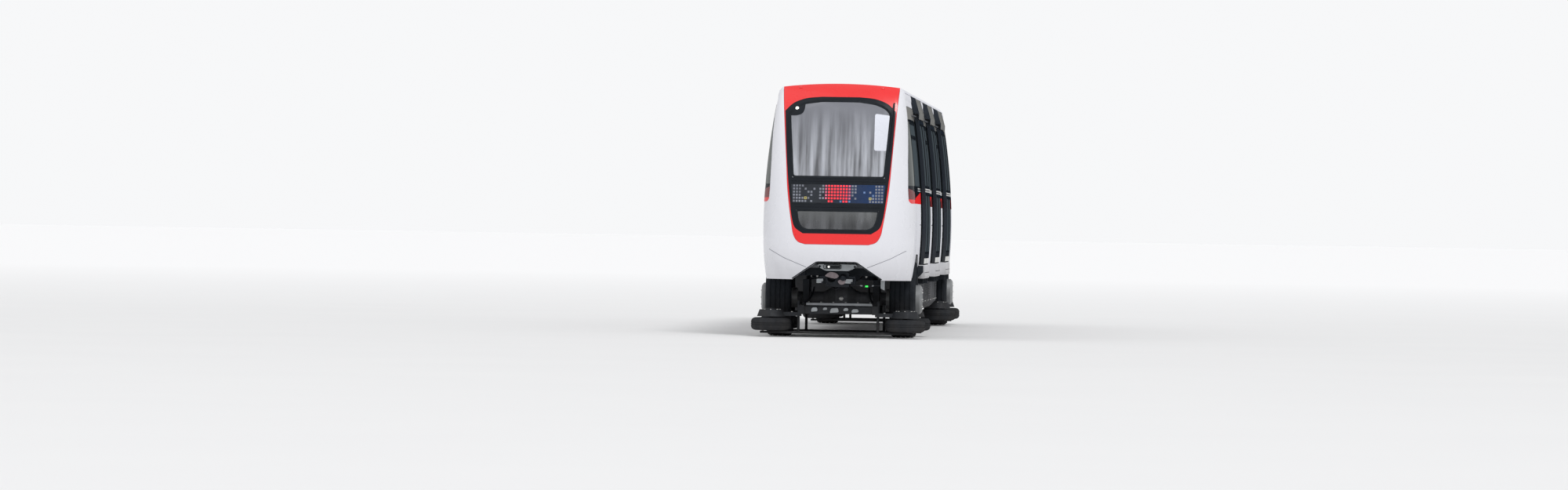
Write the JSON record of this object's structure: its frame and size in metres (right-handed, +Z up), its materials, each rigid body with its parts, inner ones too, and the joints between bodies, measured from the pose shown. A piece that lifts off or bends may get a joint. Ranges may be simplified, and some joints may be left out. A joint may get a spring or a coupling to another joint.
{
  "type": "driverless rubber-tyred metro car",
  "caption": "Lead car of a driverless rubber-tyred metro train: white and red shell, sliding doors outside the walls, and steered axles with flat guide wheels.",
  "frame": {"origin": "middle of the car's length and width, on the surface that the running tyres stand on", "axes": "+X towards the nose, +Y to the car's left, +Z up"},
  "size_m": [13.1494, 2.264, 3.2919],
  "materials": {
    "body_paint": "gloss white paint",
    "red_paint": "gloss red paint",
    "dark_paint": "satin dark grey paint",
    "door_paint": "satin black frames with a pale kick plate and glass panes",
    "header_grey": "satin grey paint",
    "threshold_paint": "satin off-white paint",
    "frame_steel": "matt dark paint with road dirt",
    "grey_metal": "plain sheet",
    "rail_metal": "running surface",
    "wheel_steel": "dirty grey paint",
    "pole_metal": "satin",
    "black_trim": "gloss black",
    "display": "dark panel with small square lamps",
    "glass": "tinted",
    "bellows": "matt black folded rubber cloth",
    "tyre": "worn black rubber",
    "seat_red": "red cloth",
    "floor_cover": "speckled grey covering"
  },
  "bodies": {
    "car": {"side_wall_left": "body_paint", "side_wall_right": "body_paint", "side_panes_left": "glass", "side_panes_right": "glass", "roof": "body_paint", "rear_wall": "dark_paint", "gangway": "bellows", "nose_mask": "body_paint", "nose_surround": "red_paint", "windscreen_frame": "black_trim", "windscreen_upper": "glass", "windscreen_lower": "glass", "display_panel": "display", "wiper": "black_trim", "floor": "floor_cover", "wheel_houses": "grey_metal", "underframe": "frame_steel", "equipment_boxes": "dark_paint", "door_headers": "header_grey", "door_rails": "rail_metal", "door_thresholds": "threshold_paint", "sill_brackets": "dark_paint", "coupler": "frame_steel", "nose_bar": "header_grey", "seats": "seat_red", "grab_poles": "pole_metal", "nose_cable": "black_trim"},
    "door_1_left_front": {"door_1_left_front_leaf": "door_paint"},
    "door_1_left_rear": {"door_1_left_rear_leaf": "door_paint"},
    "door_1_right_front": {"door_1_right_front_leaf": "door_paint"},
    "door_1_right_rear": {"door_1_right_rear_leaf": "door_paint"},
    "door_2_left_front": {"door_2_left_front_leaf": "door_paint"},
    "door_2_left_rear": {"door_2_left_rear_leaf": "door_paint"},
    "door_2_right_front": {"door_2_right_front_leaf": "door_paint"},
    "door_2_right_rear": {"door_2_right_rear_leaf": "door_paint"},
    "door_3_left_front": {"door_3_left_front_leaf": "door_paint"},
    "door_3_left_rear": {"door_3_left_rear_leaf": "door_paint"},
    "door_3_right_front": {"door_3_right_front_leaf": "door_paint"},
    "door_3_right_rear": {"door_3_right_rear_leaf": "door_paint"},
    "front_steering": {"front_guide_frame": "frame_steel", "front_axle": "frame_steel"},
    "front_left_running_wheel": {"front_left_tyre": "tyre", "front_left_wheel": "wheel_steel"},
    "front_left_guide_front": {"front_left_guide_wheel_front": "tyre"},
    "front_left_guide_rear": {"front_left_guide_wheel_rear": "tyre"},
    "front_right_running_wheel": {"front_right_tyre": "tyre", "front_right_wheel": "wheel_steel"},
    "front_right_guide_front": {"front_right_guide_wheel_front": "tyre"},
    "front_right_guide_rear": {"front_right_guide_wheel_rear": "tyre"},
    "rear_steering": {"rear_guide_frame": "frame_steel", "rear_axle": "frame_steel"},
    "rear_left_running_wheel": {"rear_left_tyre": "tyre", "rear_left_wheel": "wheel_steel"},
    "rear_left_guide_front": {"rear_left_guide_wheel_front": "tyre"},
    "rear_left_guide_rear": {"rear_left_guide_wheel_rear": "tyre"},
    "rear_right_running_wheel": {"rear_right_tyre": "tyre", "rear_right_wheel": "wheel_steel"},
    "rear_right_guide_front": {"rear_right_guide_wheel_front": "tyre"},
    "rear_right_guide_rear": {"rear_right_guide_wheel_rear": "tyre"}
  },
  "joints": [
    {"name": "door_1_left_front_slide", "type": "slide", "parent": "car", "child": "door_1_left_front", "axis": [1, 0, 0], "range_m": [0, 0.62]},
    {"name": "door_1_left_rear_slide", "type": "slide", "parent": "car", "child": "door_1_left_rear", "axis": [-1, 0, 0], "range_m": [0, 0.62]},
    {"name": "door_1_right_front_slide", "type": "slide", "parent": "car", "child": "door_1_right_front", "axis": [1, 0, 0], "range_m": [0, 0.62]},
    {"name": "door_1_right_rear_slide", "type": "slide", "parent": "car", "child": "door_1_right_rear", "axis": [-1, 0, 0], "range_m": [0, 0.62]},
    {"name": "door_2_left_front_slide", "type": "slide", "parent": "car", "child": "door_2_left_front", "axis": [1, 0, 0], "range_m": [0, 0.62]},
    {"name": "door_2_left_rear_slide", "type": "slide", "parent": "car", "child": "door_2_left_rear", "axis": [-1, 0, 0], "range_m": [0, 0.62]},
    {"name": "door_2_right_front_slide", "type": "slide", "parent": "car", "child": "door_2_right_front", "axis": [1, 0, 0], "range_m": [0, 0.62]},
    {"name": "door_2_right_rear_slide", "type": "slide", "parent": "car", "child": "door_2_right_rear", "axis": [-1, 0, 0], "range_m": [0, 0.62]},
    {"name": "door_3_left_front_slide", "type": "slide", "parent": "car", "child": "door_3_left_front", "axis": [1, 0, 0], "range_m": [0, 0.62]},
    {"name": "door_3_left_rear_slide", "type": "slide", "parent": "car", "child": "door_3_left_rear", "axis": [-1, 0, 0], "range_m": [0, 0.62]},
    {"name": "door_3_right_front_slide", "type": "slide", "parent": "car", "child": "door_3_right_front", "axis": [1, 0, 0], "range_m": [0, 0.62]},
    {"name": "door_3_right_rear_slide", "type": "slide", "parent": "car", "child": "door_3_right_rear", "axis": [-1, 0, 0], "range_m": [0, 0.62]},
    {"name": "front_steering_turn", "type": "hinge", "parent": "car", "child": "front_steering", "pos_m": [5.135, 0, 0.774], "axis": [0, 0, 1], "range_deg": [-8, 8]},
    {"name": "front_left_wheel_spin", "type": "hinge", "parent": "front_steering", "child": "front_left_running_wheel", "pos_m": [5.135, 0.81, 0.5], "axis": [0, 1, 0], "continuous": true},
    {"name": "front_left_guide_front_spin", "type": "hinge", "parent": "front_steering", "child": "front_left_guide_front", "pos_m": [5.935, 0.87, 0.165], "axis": [0, 0, 1], "continuous": true},
    {"name": "front_left_guide_rear_spin", "type": "hinge", "parent": "front_steering", "child": "front_left_guide_rear", "pos_m": [4.335, 0.87, 0.165], "axis": [0, 0, 1], "continuous": true},
    {"name": "front_right_wheel_spin", "type": "hinge", "parent": "front_steering", "child": "front_right_running_wheel", "pos_m": [5.135, -0.81, 0.5], "axis": [0, 1, 0], "continuous": true},
    {"name": "front_right_guide_front_spin", "type": "hinge", "parent": "front_steering", "child": "front_right_guide_front", "pos_m": [5.935, -0.87, 0.165], "axis": [0, 0, 1], "continuous": true},
    {"name": "front_right_guide_rear_spin", "type": "hinge", "parent": "front_steering", "child": "front_right_guide_rear", "pos_m": [4.335, -0.87, 0.165], "axis": [0, 0, 1], "continuous": true},
    {"name": "rear_steering_turn", "type": "hinge", "parent": "car", "child": "rear_steering", "pos_m": [-5.165, 0, 0.774], "axis": [0, 0, 1], "range_deg": [-8, 8]},
    {"name": "rear_left_wheel_spin", "type": "hinge", "parent": "rear_steering", "child": "rear_left_running_wheel", "pos_m": [-5.165, 0.81, 0.5], "axis": [0, 1, 0], "continuous": true},
    {"name": "rear_left_guide_front_spin", "type": "hinge", "parent": "rear_steering", "child": "rear_left_guide_front", "pos_m": [-4.365, 0.87, 0.165], "axis": [0, 0, 1], "continuous": true},
    {"name": "rear_left_guide_rear_spin", "type": "hinge", "parent": "rear_steering", "child": "rear_left_guide_rear", "pos_m": [-5.965, 0.87, 0.165], "axis": [0, 0, 1], "continuous": true},
    {"name": "rear_right_wheel_spin", "type": "hinge", "parent": "rear_steering", "child": "rear_right_running_wheel", "pos_m": [-5.165, -0.81, 0.5], "axis": [0, 1, 0], "continuous": true},
    {"name": "rear_right_guide_front_spin", "type": "hinge", "parent": "rear_steering", "child": "rear_right_guide_front", "pos_m": [-4.365, -0.87, 0.165], "axis": [0, 0, 1], "continuous": true},
    {"name": "rear_right_guide_rear_spin", "type": "hinge", "parent": "rear_steering", "child": "rear_right_guide_rear", "pos_m": [-5.965, -0.87, 0.165], "axis": [0, 0, 1], "continuous": true}
  ],
  "couplings": [
    {"joint": "door_1_left_rear_slide", "follows": "door_1_left_front_slide", "ratio": 1},
    {"joint": "door_1_right_rear_slide", "follows": "door_1_right_front_slide", "ratio": 1},
    {"joint": "door_2_left_rear_slide", "follows": "door_2_left_front_slide", "ratio": 1},
    {"joint": "door_2_right_rear_slide", "follows": "door_2_right_front_slide", "ratio": 1},
    {"joint": "door_3_left_rear_slide", "follows": "door_3_left_front_slide", "ratio": 1},
    {"joint": "door_3_right_rear_slide", "follows": "door_3_right_front_slide", "ratio": 1}
  ]
}
